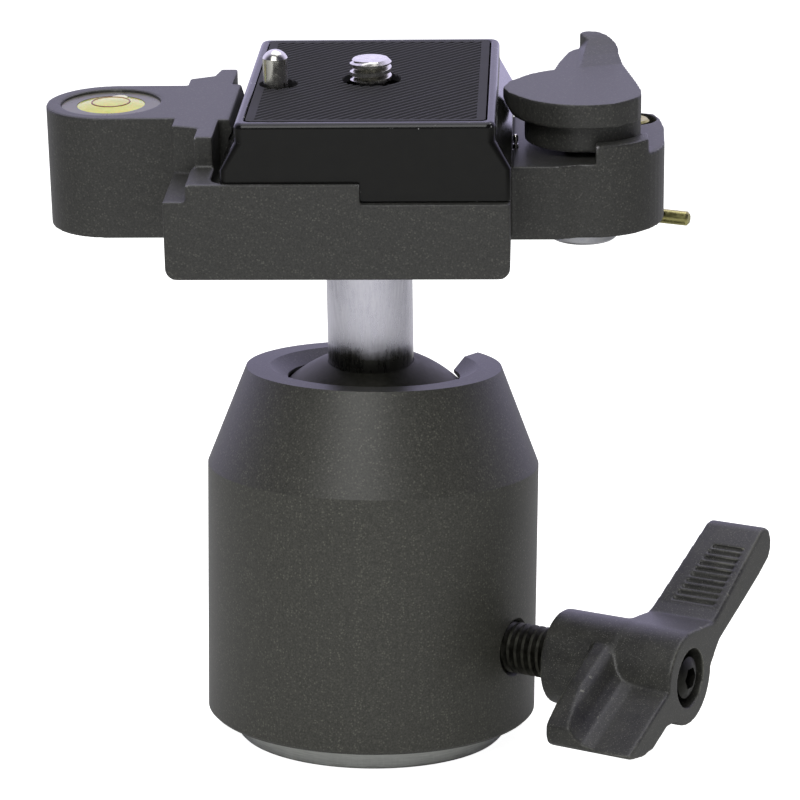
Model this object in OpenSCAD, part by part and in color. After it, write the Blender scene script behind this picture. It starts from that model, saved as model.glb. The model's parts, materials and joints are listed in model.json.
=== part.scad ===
/* [Base] */
// Radius of the foot disc
base_r = 21.5; // [20:0.5:21.5]
// Thickness of the foot disc
base_h = 3.4; // [3:0.1:3.4]
// Radius of the hub on which the body turns
hub_r = 9; // [8.8:0.1:9]
// Bore of the tripod thread (3/8-16, at the crests)
tripod_r = 3.97; // [3.9:0.01:4]

/* [Body] */
// Radius of the body
body_r = 26.25; // [26:0.25:27]
// Height of the body's underside
body_z = 3.8; // [3.8:0.1:4]
// Height where the cylinder turns into the cone
cone_z = 44.1; // [43:0.1:45]
// Height of the rim
rim_z = 59.5; // [59.2:0.1:59.8]
// Outer radius of the rim
rim_r = 20.2; // [20:0.1:20.5]
// Width of the slot into which the stem drops
slot_w = 16.4; // [16:0.1:16.8]
// Azimuth of the slot
slot_az = 58; // [50:1:65]

/* [Ball] */
// Radius of the ball
ball_r = 20; // [19.8:0.1:20]
// Height of the ball's centre
ball_z = 42.4; // [42.2:0.1:42.6]
// Radius of the stem
stem_r = 6.7; // [6.5:0.1:6.8]
// Sideways tilt of the stem, about the slot's direction
tilt_side = 3.09; // [0:0.01:3.2]
// Tilt of the stem away from the slot
tilt_drop = 7.64; // [0:0.01:12]
// Turn of the clamp about the stem, from the slot's direction
clamp_turn = -60.53; // [-64:0.01:-56]

/* [Lock knob] */
// Azimuth of the knob's axis
knob_az = -31.17; // [-34:0.01:-28]
// Height of the knob's axis
knob_z = 17.5; // [17.4:0.1:17.6]
// Radius of the M8 stud
stud_r = 3.97; // [3.9:0.01:3.98]
// Distance of the knob's end face from the body's axis
knob_end = 56.4; // [56:0.1:57]
// Radius of the knob's hub
knob_r = 7.4; // [7.3:0.1:7.6]
// Number of teeth that join the knob to its insert
teeth = 16; // [12:2:20]

/* [Clamp] */
// Height of the block's underside over the ball's centre
block_z = 40.6; // [40.6:0.1:41]
// Height of the receiver's floor
floor_z = 52.1; // [52:0.1:52.15]
// Height of the fixed jaw
jaw_z = 59.9; // [59.5:0.1:60]
// Front and rear ends of the block
block_y = 26.9; // [26.9:0.1:27.5]
// Centre of the level's boss, left to right
level_x = -39.5; // [-40:0.1:-39]
// Centre of the level's boss, front to back
level_y = 2.9; // [2.5:0.1:3.2]
// Radius of the level's boss
boss_r = 9.95; // [9.8:0.05:10.3]
// Pivot of the clamp lever, left to right
pivot_x = 33.2; // [33.2:0.1:33.4]
// Pivot of the clamp lever, front to back
pivot_y = 4.3; // [4.2:0.1:4.4]
// Height of the lever's top face
lever_z = 61.6; // [61.4:0.1:61.8]
// Thickness of the lever
lever_h = 3.8; // [3.6:0.1:3.8]

/* [Plate] */
// Half width of the plate's top
plate_top_w = 19.03; // [18.9:0.01:19.1]
// Half width of the plate's foot
plate_foot_w = 21.25; // [21.2:0.01:21.3]
// Half length of the plate
plate_l = 25.9; // [25.5:0.1:25.9]
// Height of the plate's top face
plate_z = 64; // [63.8:0.1:64.2]
// Radius of the 1/4-20 camera screw
screw_r = 3.175; // [3.1:0.005:3.18]
// Height of the camera screw's tip
screw_z = 67.2; // [66.8:0.1:67.6]
// Height of the video pin's tip
pin_z = 69.35; // [69:0.05:69.5]

/* [Hidden] */
$fn = 96;

// Radial gap between parts that turn or slide on each other
fit = 0.05;
// Gap between parts that only pass each other
gap = 0.3;
eps = 0.01;

plug_r = 21.9;
plug_z = 9.2;
cup_bore_r = 20.9;
seat_bore_r = 20.2;
seat_z0 = 47;
lip_z = 53;
// The rim is flat down to the mouth, which narrows to a collar close to the ball
mouth_r = 16.4;
collar_r = 13.6;
collar_z = 57.9;
hub_z = plug_z + 0.4;
cup_z0 = 12;
cup_z1 = 31;

pin_tip_s = 5;
pin_end_s = 12.98;
pin_tip_r = 1;
// A turn draws the stud back by 1.25 mm and lets the cup down by 0.35 mm
pin_slope = 0.35 / 1.25;
stud_end_s = 44.9;
knob_start_s = 34.4;
crown_s0 = 42.2;
crown_s1 = 45;
crown_r = 5.9;
recess_r = 4.53;
screw_head_s = 53.1;

plate_x = 1.055;
plate_foot_z = floor_z + 0.1;
flank_z0 = 57;
flank_z1 = 61.1;
flank_slope = (plate_foot_w - plate_top_w) / (flank_z1 - flank_z0);
plate_left = plate_x - plate_foot_w;
plate_right = plate_x + plate_foot_w;
plate_corner_r = 1.2;
pad_floor_z = plate_z - 1;
screw_x = 0.8;
screw_y = 0.2;
neck_r = 2.5;
pin_x = -13.5;
pin_y = -2.5;

block_x0 = -28.56;
block_x1 = 22.1;
block_corner_r = 1.7;
wall_x = plate_left - 0.15;
nose_z = 58;
nose_x = plate_x - plate_top_w - flank_slope * (flank_z1 - nose_z) - 0.1;
arm_z0 = 41;
arm_z1 = 52.5;
level_bore_r = 7.65;
vial_r = 5.2;
vial_z = jaw_z - 0.6;
lens_r = 20;
axle_r = 2.95;
hub_low_z = 53.6;
spindle_x = 41.2;
spindle_y = 16.7;
spindle_r = 2.5;
spindle_z = 53.1;
trigger_x = 22.75;
trigger_y = 2.6;
trigger_r = 0.4;
tab_x = 32.84;
tab_z = 64.1;
pin_az = -21;

body_colour = "#45453f";
metal_colour = "#c4c4cc";
black_colour = "#242424";
brass_colour = "#a8a04e";
dark_steel = "#6c6c72";

// ---------------------------------------------------------------- helpers

// The clamp's frame: its origin is the ball's centre and +Z runs up the stem
module head_frame() {
    translate([0, 0, ball_z]) rotate([0, 0, slot_az]) rotate([tilt_side, 0, 0])
        rotate([0, -tilt_drop, 0]) rotate([0, 0, clamp_turn]) children();
}

// The knob's frame: +Z runs out of the body, +Y is up
module knob_frame() {
    translate([0, 0, knob_z]) rotate([90, 0, knob_az + 90]) children();
}

module tube(outer, inner, z0, z1) {
    translate([0, 0, z0]) difference() {
        cylinder(r = outer, h = z1 - z0);
        translate([0, 0, -1]) cylinder(r = inner, h = z1 - z0 + 2);
    }
}

module disc(r, z0, z1) {
    translate([0, 0, z0]) cylinder(r = r, h = z1 - z0);
}

module taper(r0, r1, z0, z1) {
    translate([0, 0, z0]) cylinder(r1 = r0, r2 = r1, h = z1 - z0);
}

module block(x0, x1, y0, y1, z0, z1) {
    translate([x0, y0, z0]) cube([x1 - x0, y1 - y0, z1 - z0]);
}

// A wall from z0 to z1 that stands on an outline
module prism(outline, z0, z1) {
    translate([0, 0, z0]) linear_extrude(z1 - z0) polygon(outline);
}

// A section in x and z, drawn out along y
module rail(section, y0, y1) {
    translate([0, y1, 0]) rotate([90, 0, 0]) linear_extrude(y1 - y0) polygon(section);
}

// Points of an arc about c, from angle a0 to a1
function arc(c, r, a0, a1, n = 8) =
    [for (i = [0 : n]) [c[0] + r * cos(a0 + (a1 - a0) * i / n), c[1] + r * sin(a0 + (a1 - a0) * i / n)]];

// A rectangle from corner (x0, y0) to corner (x1, y1), with rounded corners
function rounded(x0, x1, y0, y1, r) = concat(
    arc([x0 + r, y0 + r], r, 180, 270, 6), arc([x1 - r, y0 + r], r, 270, 360, 6),
    arc([x1 - r, y1 - r], r, 0, 90, 6), arc([x0 + r, y1 - r], r, 90, 180, 6));

// A coil of round wire: mean radius r, from z0 to z1, wound from octagonal rings
function coil_ring(r, wire, a, z) =
    [for (k = [0 : 7]) [
        (r + wire * cos(45 * k)) * cos(a),
        (r + wire * cos(45 * k)) * sin(a),
        z + wire * sin(45 * k)
    ]];

module coil(r, wire, turns, z0, z1) {
    steps = turns * 18;
    rise = (z1 - z0 - 2 * wire) / steps;
    points = [for (i = [0 : steps]) each coil_ring(r, wire, 20 * i, z0 + wire + rise * i)];
    sides = [for (i = [0 : steps - 1], k = [0 : 7])
        [8 * i + k, 8 * i + (k + 1) % 8, 8 * (i + 1) + (k + 1) % 8, 8 * (i + 1) + k]];
    start = [[for (k = [7 : -1 : 0]) k]];
    end = [[for (k = [0 : 7]) 8 * steps + k]];
    polyhedron(points = points, faces = concat(sides, start, end), convexity = 8);
}

// ------------------------------------------------------------------- base

screw_turns = [30, 150, 270];

module base_disc() {
    color(metal_colour) difference() {
        union() {
            disc(base_r - 0.4, 0, 0.4 + eps);
            taper(base_r - 0.4, base_r, 0, 0.4);
            disc(base_r, 0.4, base_h);
            disc(hub_r, base_h - eps, hub_z);
        }
        disc(tripod_r, -1, hub_z + 1);
        for (a = screw_turns) rotate([0, 0, a]) translate([6.5, 0, 0]) disc(1.3, 5, hub_z + 1);
        // Relief ring in the underside, which leaves a flat rim and a flat boss
        translate([0, 0, -1]) tube(17.5, 8.5, 0, 1.6);
    }
}

module pan_washer() {
    color("#dcdcd4") tube(19, 10, base_h, body_z);
}

module wave_washer() {
    color(dark_steel) tube(10.8, 9.2, plug_z, hub_z - 0.02);
}

module retainer_plate() {
    color(metal_colour) difference() {
        disc(11, hub_z, 11);
        for (a = screw_turns) rotate([0, 0, a]) translate([6.5, 0, 0]) {
            disc(1.4, hub_z - 1, 12);
            taper(1.4, 2.5, 9.95, 11 + eps);
        }
    }
}

module retainer_screws() {
    color(dark_steel) for (a = screw_turns) rotate([0, 0, a]) translate([6.5, 0, 0]) difference() {
        union() {
            disc(1.25, 5.2, 10.1);
            taper(1.25, 2.3, 10, 11);
        }
        block(-0.25, 0.25, -3, 3, 10.5, 12);
    }
}

// ------------------------------------------------------------------- body

module slot_cut() {
    translate([0, 0, ball_z]) rotate([0, 0, slot_az]) {
        rotate([0, 90, 0]) cylinder(r = slot_w / 2, h = 40);
        block(0, 40, -slot_w / 2, slot_w / 2, 0, 40);
    }
}

module floor_plate() {
    color(metal_colour) tube(plug_r - fit, hub_r + fit, body_z + 0.05, plug_z);
}

module housing() {
    section = [
        [plug_r, body_z], [body_r - 0.5, body_z], [body_r, body_z + 0.5], [body_r, cone_z],
        [rim_r, rim_z], [mouth_r, rim_z], [collar_r, collar_z], [collar_r, lip_z],
        [seat_bore_r, lip_z], [seat_bore_r, seat_z0], [cup_bore_r, seat_z0],
        [cup_bore_r, plug_z], [plug_r, plug_z],
    ];
    color(body_colour) difference() {
        rotate_extrude() polygon(section);
        translate([0, 0, ball_z]) sphere(r = ball_r + gap);
        slot_cut();
        knob_frame() {
            disc(stud_r + 0.08, 15, 30);
            taper(stud_r + 0.08, stud_r + 0.7, body_r - 0.9, body_r + eps);
        }
    }
}

module seat_ring() {
    color("#d8d8d0") difference() {
        disc(seat_bore_r - fit, seat_z0, lip_z - 0.05);
        translate([0, 0, ball_z]) sphere(r = ball_r + fit);
        slot_cut();
    }
}

module friction_cup() {
    color("#b9b9b4") difference() {
        disc(cup_bore_r - gap, cup_z0, cup_z1);
        translate([0, 0, ball_z]) sphere(r = ball_r + 0.5);
        knob_frame() {
            taper(pin_tip_r + 0.06 - 0.4 * pin_slope, pin_tip_r + 0.06 + 7.9 * pin_slope, 4.6, 12.9);
            disc(stud_r + 0.73, 12.89, 22);
        }
    }
}

module cup_spring() {
    section = [[13, 11.1], [13, cup_z0 - 0.03], [19.5, plug_z + 0.9], [19.5, plug_z + 0.02]];
    color(dark_steel) rotate_extrude() polygon(section);
}

module thrust_pin() {
    color(metal_colour) knob_frame()
        taper(pin_tip_r, pin_tip_r + (pin_end_s - pin_tip_s) * pin_slope, pin_tip_s, pin_end_s);
}

// -------------------------------------------------------------- lock knob

// A ring of flat-topped teeth, grown all round by the clearance
function crown(clearance) = [for (i = [0 : teeth - 1], k = [0 : 3])
    let (a = 360 / teeth * (i + [-0.34, -0.16, 0.16, 0.34][k]),
         r = crown_r + clearance + (k == 1 || k == 2 ? 0 : -0.7))
    [r * cos(a), r * sin(a)]];

module lock_stud() {
    color(black_colour) knob_frame() difference() {
        union() {
            taper(stud_r - 0.6, stud_r, 13, 13.6);
            disc(stud_r, 13.6 - eps, stud_end_s);
        }
        disc(2.05, 38, stud_end_s + 1);
    }
}

module knob_insert() {
    color(dark_steel) knob_frame() difference() {
        union() {
            disc(5.1, 35, crown_s0 + eps);
            translate([0, 0, crown_s0]) linear_extrude(crown_s1 - crown_s0) polygon(crown(0));
        }
        disc(stud_r + 0.01, 34, crown_s1 + 1);
    }
}

module knob_screw() {
    color(black_colour) knob_frame() difference() {
        union() {
            disc(2, 39, screw_head_s + 0.1);
            disc(3.2, screw_head_s, screw_head_s + 2.7);
            translate([0, 0, screw_head_s + 2.7 - eps]) intersection() {
                translate([0, 0, -6.3]) sphere(r = 7.07);
                cylinder(r = 3.2, h = 2);
            }
        }
        translate([0, 0, screw_head_s + 1.3]) cylinder(r = 1.75, h = 4, $fn = 6);
    }
}

module knob_spring() {
    color(dark_steel) knob_frame() coil(2.9, 0.22, 4, 46.95, screw_head_s - 0.05);
}

arm_outline = [
    [0, 7.3], [4, 7.1], [7.8, 6.95], [10.1, 8.1], [25.2, 17.5], [26.6, 17.75], [28, 17], [28.8, 15.6],
    [28.9, 13.9], [28.2, 12.5], [24.7, 10.4], [19.7, 7.9], [10.4, 3.4], [7.2, 0], [0, 0],
];
wing_outline = [
    [0, 7.3], [-4.9, 6.3], [-8.3, 3.6], [-13.5, 1.1], [-17.8, -1.4], [-20.1, -3.2], [-20.9, -4.1],
    [-20.9, -5.6], [-20.4, -6.8], [-19.4, -7.5], [-15.4, -8.1], [-12.1, -7.8], [-7.5, -5.6], [0, -6], [0, 0],
];
// The arm gets narrower towards its tip
arm_section = [
    [-5, 45], [8, 45], [34, 46.8], [34, knob_end - 0.2], [8, knob_end], [-5, knob_end],
];
// Across the wing: it is thick next to the body and hollowed out for the thumb
wing_section = [
    [-20, 42.8], [6.9, 42.8], [6.9, 45], [6.2, 46.2], [4.4, 47.4], [3.4, 48.6], [3, 50.5],
    [2.8, knob_end], [-20, knob_end],
];
groove_count = 10;
groove_from = 14.1;
groove_pitch = 1.32;

module lock_lever() {
    color(black_colour) knob_frame() difference() {
        union() {
            disc(knob_r, knob_start_s, 46);
            disc(7.3, 45.9, knob_end);
            intersection() {
                prism(arm_outline, 43, knob_end);
                rotate([0, 0, 31]) rail(arm_section, -20, 20);
            }
            intersection() {
                prism(wing_outline, 42.8, knob_end);
                rotate([0, 0, 26]) translate([-30, 0, 0]) rotate([90, 0, 90]) linear_extrude(35)
                    polygon(wing_section);
            }
        }
        // Grip grooves across the arm
        rotate([0, 0, 31.9]) for (i = [0 : groove_count - 1])
            translate([groove_from + groove_pitch * i, 0, 0])
                block(-0.36, 0.36, 1.18, 3, 47.8 + 0.2 * i, knob_end - 1.5);
        disc(6.2, knob_start_s - 1, crown_s0);
        translate([0, 0, crown_s0 - eps]) linear_extrude(3.1) polygon(crown(0.1));
        disc(2.2, 45, 48);
        disc(recess_r, 46.8, knob_end + 1);
    }
}

// ------------------------------------------------------------------- ball

module ball_liner() {
    color("#e4e4dc") translate([0, 0, ball_z]) difference() {
        sphere(r = ball_r + 0.45);
        sphere(r = ball_r + 0.05);
        block(-30, 30, -30, 30, -14.3, 30);
    }
}

module ball() {
    color("#55565a") head_frame() difference() {
        sphere(r = ball_r);
        disc(5.05, -6, 20);
        disc(stem_r + fit, 17.5, 25);
    }
}

module stem() {
    color(metal_colour) head_frame() difference() {
        union() {
            disc(5, -5.9, 17.6);
            disc(stem_r, 17.5, block_z + 5);
        }
        disc(3.05, 29, block_z + 6);
    }
}

// ------------------------------------------------------------------ clamp

// The block's section in x and z, with rounded lower corners
block_section = concat(
    arc([block_x0 + block_corner_r, block_z + block_corner_r], block_corner_r, 180, 270),
    arc([block_x1 - block_corner_r, block_z + block_corner_r], block_corner_r, 270, 360),
    [[block_x1, floor_z], [block_x0, floor_z]]
);

// The right arm is round about the lever's pivot and square at the back
right_arm_outline = concat(
    [[20, 21], [20, -8.7], [29, -8.6]],
    arc([34, 3.9], 11.6, 262, 356, 14),
    [[45.8, 12], [45.4, 16.6], [44.5, 19.6], [41.2, 21]]
);

module front_rim() {
    intersection() {
        prism(right_arm_outline, arm_z1 - 1, 55.4);
        block(34.8, 42.9, -10, 0, arm_z1 - 1, 56);
        difference() {
            block(30, 50, -10, 4, 50, 56);
            translate([pivot_x, pivot_y, 0]) disc(9.7, 49, 57);
        }
    }
}

module fixed_jaw() {
    nose_section = [
        [-28.6, 50], [wall_x, 50], [wall_x, flank_z0], [nose_x, nose_z],
        [-20.3, jaw_z], [-28.6, jaw_z],
    ];
    jaw_outline = [
        [-28.6, -11.3], [-24.6, -12.7], [-24.6, -17.8], [-21.85, -17.8], [-21.85, -7.8],
        [-21.69, 13.5], [-21.69, 22.9], [-24.34, 22.9], [-25.04, 18.8], [-28.7, 16.9],
    ];
    rail(nose_section, -7.8, 13.5);
    prism(jaw_outline, floor_z - 1, jaw_z);
}

// The post at the front left corner, filled out in its inner corner
module front_post() {
    fill_r = 3;
    inner_x = -21.65;
    outline = concat(
        [[-25.2, -17.8], [-25.2, -block_y], [inner_x + fill_r, -block_y]],
        arc([inner_x + fill_r, fill_r - 26], fill_r, 270, 180),
        [[inner_x, -17.8]]
    );
    prism(outline, floor_z - 1, 55.2);
}

module level_boss() {
    left_arm = concat(
        arc([level_x, level_y], boss_r, 90, 270, 32),
        [[-28, level_y - boss_r], [-28, level_y + boss_r]]
    );
    prism(left_arm, arm_z0, jaw_z);
}

module clamp_body() {
    color(body_colour) head_frame() difference() {
        union() {
            rail(block_section, -block_y, block_y);
            block(block_x0, -25, -block_y, -11.3, floor_z - 1, 52.6);
            block(block_x0, -25, 16.9, block_y, floor_z - 1, 52.6);
            front_post();
            block(-25.2, 0.26, -block_y, -26, floor_z - 1, 55.2);
            fixed_jaw();
            level_boss();
            prism(right_arm_outline, arm_z0, arm_z1);
            // The end of the arm stands a little higher
            intersection() {
                prism(right_arm_outline, arm_z0, spindle_z);
                block(36, 47, -10, 22, arm_z0, 54);
            }
            front_rim();
        }
        // Socket and screw of the stem
        disc(stem_r + fit, block_z - 1, block_z + 5.05);
        disc(3.2, block_z, floor_z + 1);
        taper(3.2, 5.6, 48.5, floor_z + eps);
        // Room for the plate beside the front wall
        prism(rounded(plate_left - 0.1, plate_right + 0.1, -26, 40, plate_corner_r + 0.1), floor_z, 57);
        // Seat of the level
        translate([level_x, level_y, 0]) disc(level_bore_r, jaw_z - 8, jaw_z + 1);
        // Axle of the lever
        translate([pivot_x, pivot_y, 0]) disc(axle_r + fit, 30, 60);
        // Trigger: bore, spring seat and the pocket of its foot
        translate([trigger_x, trigger_y, 0]) {
            disc(trigger_r + fit, 43, 60);
            disc(1.3, 44, 49.5 + eps);
        }
        block(18.4, trigger_x + trigger_r + 0.2, trigger_y - 1.3, trigger_y + 1.3, 49.5, floor_z + eps);
        // Safety spindle: bore and spring seat
        translate([spindle_x, spindle_y, 0]) {
            disc(spindle_r + fit, 30, 60);
            disc(3.6, 46, 60);
        }
    }
}

module clamp_screw() {
    color(dark_steel) head_frame() difference() {
        union() {
            disc(3, 30, 48.9);
            taper(3, 5.3, 48.8, floor_z - 0.4);
        }
        translate([0, 0, 49.2]) cylinder(r = 2.3, h = 5, $fn = 6);
    }
}

module level_cup() {
    color("#e6e4c0") head_frame() translate([level_x, level_y, 0]) difference() {
        disc(level_bore_r - fit, jaw_z - 7.95, jaw_z - 0.45);
        disc(vial_r + fit, jaw_z - 6.9, jaw_z);
    }
}

module level_vial() {
    color("#c9c960") head_frame() translate([level_x, level_y, 0]) {
        disc(vial_r, jaw_z - 6.85, vial_z);
        // The lens is a shallow dome
        translate([0, 0, vial_z - eps]) intersection() {
            translate([0, 0, 0.1 - sqrt(lens_r * lens_r - vial_r * vial_r)]) sphere(r = lens_r);
            cylinder(r = vial_r, h = 1);
        }
    }
}

// ------------------------------------------------------------ clamp lever

handle_outline = [
    [pivot_x, -1], [23.5, -1.9], [21.6, 1.1], [20.8, 4.1], [21.8, 7.9], [23.7, 10.4], [26.1, 12.5],
    [28.65, 14.6], [29.5, 19.6], [30.9, 25.6], [31.7, 27.4], [tab_x, 28.4], [33.3, 29.5], [34.1, 29.9],
    [35.6, 29.7], [36.9, 28.7], [37.9, 27.3], [38.6, 25.8], [38.95, 24.2], [38.9, 22.9],
    [39.6, 17.5], [41.25, 7], [41.85, 2.2], [41.8, -0.8], [41.3, -2.3],
];

// The thumb tab: a scooped ramp that fades out to the left
module thumb_tab(z0) {
    fade_x = 34.2;
    ramp_section = [[3.5, z0], [3.5, lever_z], [7.8, lever_z + 0.7], [10.8, lever_z + 1.4],
        [13, lever_z + 2.05], [14.1, lever_z + 2.3], [15.6, tab_z], [19, tab_z], [19, z0]];
    fade_section = [[tab_x, z0], [tab_x, lever_z], [fade_x, lever_z + 2], [fade_x + 0.3, tab_z + 1],
        [45, tab_z + 1], [45, z0]];
    intersection() {
        prism(handle_outline, z0, tab_z + 1);
        rotate([0, 0, 20]) translate([30, 0, 0]) rotate([90, 0, 90]) linear_extrude(25) polygon(ramp_section);
        union() {
            rail(fade_section, 13, 32);
            prism([[tab_x, 28.4], [fade_x, 25.8], [45, 25.8], [45, 32], [tab_x, 32]], z0, tab_z + 1);
        }
    }
}

module clamp_lever() {
    z0 = lever_z - lever_h;
    // The head's flank leans as the plate's does, and is round about the pivot
    reach = pivot_x - plate_x - plate_top_w - 0.12;
    flank = [
        [reach, flank_z1], [reach - flank_slope * (flank_z1 - z0 + 0.1), z0 - 0.1],
        [18, z0 - 0.1], [18, flank_z1],
    ];
    head_side = [
        [20, -10], [36, -10], [37.7, -6.1], [39.9, -4.1], [41.3, -2.3], [41.8, -0.8],
        [41.85, 2.2], [41.25, 7], [39.6, 17.5], [20, 17.5],
    ];
    color(body_colour) head_frame() difference() {
        union() {
            intersection() {
                translate([pivot_x, pivot_y, 0]) disc(11.4, z0, lever_z);
                prism(head_side, z0, lever_z);
            }
            prism(handle_outline, z0, lever_z);
            thumb_tab(lever_z - 0.5);
            intersection() {
                translate([pivot_x, pivot_y, 0]) disc(9.1, hub_low_z, z0 + eps);
                prism(head_side, hub_low_z, z0 + eps);
            }
        }
        translate([pivot_x, pivot_y, 0]) {
            disc(axle_r + fit, 50, lever_z - 1.3);
            disc(6.4, 50, 58.6);
        }
        intersection() {
            translate([pivot_x, pivot_y, 0]) rotate_extrude() polygon(flank);
            block(10, 39, -10, 12.2, z0 - 1, lever_z);
        }
    }
}

module lever_screw() {
    color(metal_colour) head_frame() translate([pivot_x, pivot_y, 0]) difference() {
        union() {
            disc(axle_r, 40.9, lever_z - 1.4);
            disc(5.4, 38.1, arm_z0);
            taper(5, 5.4, 37.7, 38.1 + eps);
        }
        block(-6, 6, -0.6, 0.6, 37, 39);
    }
}

module lever_spring() {
    color(dark_steel) head_frame() translate([pivot_x, pivot_y, 0]) coil(4.7, 0.5, 3, 53.7, 58.3);
}

module trigger_pin() {
    color(metal_colour) head_frame() difference() {
        union() {
            translate([trigger_x, trigger_y, 0]) {
                disc(1.1, 46.4, 46.9);
                disc(trigger_r, 46.4, 53);
                disc(trigger_r - 0.12, 53 - eps, 53.5);
                disc(trigger_r, 53.5 - eps, 54.2);
                taper(trigger_r, 0.2, 54.2 - eps, 54.5);
            }
            block(18.8, trigger_x, trigger_y - 1, trigger_y + 1, 51.3, floor_z - 0.05);
        }
    }
}

module trigger_spring() {
    color(dark_steel) head_frame() translate([trigger_x, trigger_y, 0]) coil(0.92, 0.16, 3, 44.1, 46.3);
}

module safety_spindle() {
    color(brass_colour) head_frame() translate([spindle_x, spindle_y, 0]) difference() {
        union() {
            disc(spindle_r, 36, 52.8);
            taper(spindle_r, spindle_r - 0.3, 52.8 - eps, spindle_z);
            disc(3.4, 50.6, 51.3);
        }
        translate([0, 0, 37.6]) rotate([0, 90, pin_az]) cylinder(r = 1.16, h = 8, center = true);
    }
}

module safety_pin() {
    color(brass_colour) head_frame() translate([spindle_x, spindle_y, 37.6]) rotate([0, 90, pin_az]) {
        translate([0, 0, -2.2]) cylinder(r = 1.15, h = 11.3);
        translate([0, 0, 9.1 - eps]) cylinder(r1 = 1.15, r2 = 0.8, h = 0.35);
    }
}

module safety_spring() {
    color(dark_steel) head_frame() translate([spindle_x, spindle_y, 0]) coil(3.05, 0.22, 4, 46.1, 50.5);
}

// ------------------------------------------------------------------ plate

// The plate's outline at half width w
function plate_outline(w, r) = rounded(plate_x - w, plate_x + w, -plate_l, plate_l, r);

module plate() {
    top_r = 1.5;
    color(black_colour) head_frame() difference() {
        union() {
            prism(plate_outline(plate_foot_w, plate_corner_r), plate_foot_z, flank_z0 + eps);
            // Leaning flanks, and the chamfer round the top
            hull() {
                prism(plate_outline(plate_foot_w, plate_corner_r), flank_z0, flank_z0 + eps);
                prism(plate_outline(plate_top_w, top_r), flank_z1 - eps, flank_z1);
            }
            prism(plate_outline(plate_top_w, top_r), flank_z1 - eps, plate_z - 0.5 + eps);
            hull() {
                prism(plate_outline(plate_top_w, top_r), plate_z - 0.5, plate_z - 0.5 + eps);
                translate([0, 0.5, 0]) prism(rounded(plate_x - plate_top_w + 0.5, plate_x + plate_top_w - 0.5,
                    -plate_l, plate_l - 1, top_r - 0.5), plate_z - eps, plate_z);
            }
        }
        prism(rounded(-16.5, 18.7, -24.3, 24.4, 1.1), pad_floor_z, plate_z + 1);
        translate([screw_x, screw_y, 0]) {
            disc(3.35, 50, 70);
            disc(8.5, 50, 56.4);
            disc(5.4, 61.4, 70);
        }
        translate([pin_x, pin_y, 0]) {
            disc(2.1, 50, 70);
            disc(3, 50, 60.2);
        }
    }
}

module plate_pad() {
    color("#1c1c1c") head_frame() difference() {
        prism(rounded(-16.35, 18.55, -24.15, 24.25, 1), pad_floor_z, plate_z);
        translate([screw_x, screw_y, 0]) {
            translate([-0.2, 0, 0]) disc(4.2, 60, 70);
            translate([0.4, 0, 0]) disc(4.2, 60, 70);
        }
        translate([pin_x + 0.45, pin_y, 0]) disc(3, 60, 70);
    }
}

module camera_screw() {
    color(metal_colour) head_frame() translate([screw_x, screw_y, 0]) difference() {
        union() {
            // The shank is relieved below the thread, so that the screw stays in the plate
            disc(neck_r, 55, plate_z + 0.05);
            disc(screw_r, plate_z + 0.02, screw_z - 0.5);
            taper(screw_r, screw_r - 0.5, screw_z - 0.5 - eps, screw_z);
            taper(7.1, 7.5, 53, 53.4);
            disc(7.5, 53.4 - eps, 55.8);
        }
        block(-8, 8, -0.8, 0.8, 52, 54.4);
    }
}

module screw_clip() {
    color(dark_steel) head_frame() translate([screw_x, screw_y, 0]) difference() {
        tube(4.9, neck_r + 0.01, 61.6, 62.3);
        block(0, 6, -1.2, 1.2, 61, 63);
    }
}

module video_pin() {
    color(metal_colour) head_frame() translate([pin_x, pin_y, 0]) {
        disc(1.9, 59, pin_z - 1.3);
        disc(2.9, 59.2, 60.15);
        translate([0, 0, pin_z - 1.3 - eps]) intersection() {
            translate([0, 0, -0.75]) sphere(r = 2.05);
            cylinder(r = 1.9, h = 3);
        }
    }
}

module video_spring() {
    color(dark_steel) head_frame() translate([pin_x, pin_y, 0]) coil(2.4, 0.25, 4, 53.5, 59.1);
}

module pin_plug() {
    color(dark_steel) head_frame() translate([pin_x, pin_y, 0]) difference() {
        disc(2.95, 52.4, 53.4);
        block(-3, 3, -0.35, 0.35, 52, 52.9);
    }
}

base_disc();
pan_washer();
wave_washer();
retainer_plate();
retainer_screws();
floor_plate();
housing();
seat_ring();
friction_cup();
cup_spring();
thrust_pin();
lock_stud();
knob_insert();
knob_screw();
knob_spring();
lock_lever();
ball_liner();
ball();
stem();
clamp_body();
clamp_screw();
level_cup();
level_vial();
clamp_lever();
lever_screw();
lever_spring();
trigger_pin();
trigger_spring();
safety_spindle();
safety_pin();
safety_spring();
plate();
plate_pad();
camera_screw();
screw_clip();
video_pin();
video_spring();
pin_plug();
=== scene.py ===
# %% [markdown]
# # A tripod ball head, in its finishes
# The CAD model already holds every piece at its real size, in its real place. This lesson gives those
# pieces what a drawing leaves out: rounded casting edges, cut threads, a ribbed rubber pad, a spirit
# level with liquid in it, and a surface for every metal, paint and plastic. Each step first says what
# the real thing is, then why it is made this way in Blender.

# %% Load the CAD frame
import bmesh
import json
import math

import bpy
from mathutils import Matrix, Vector

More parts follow.
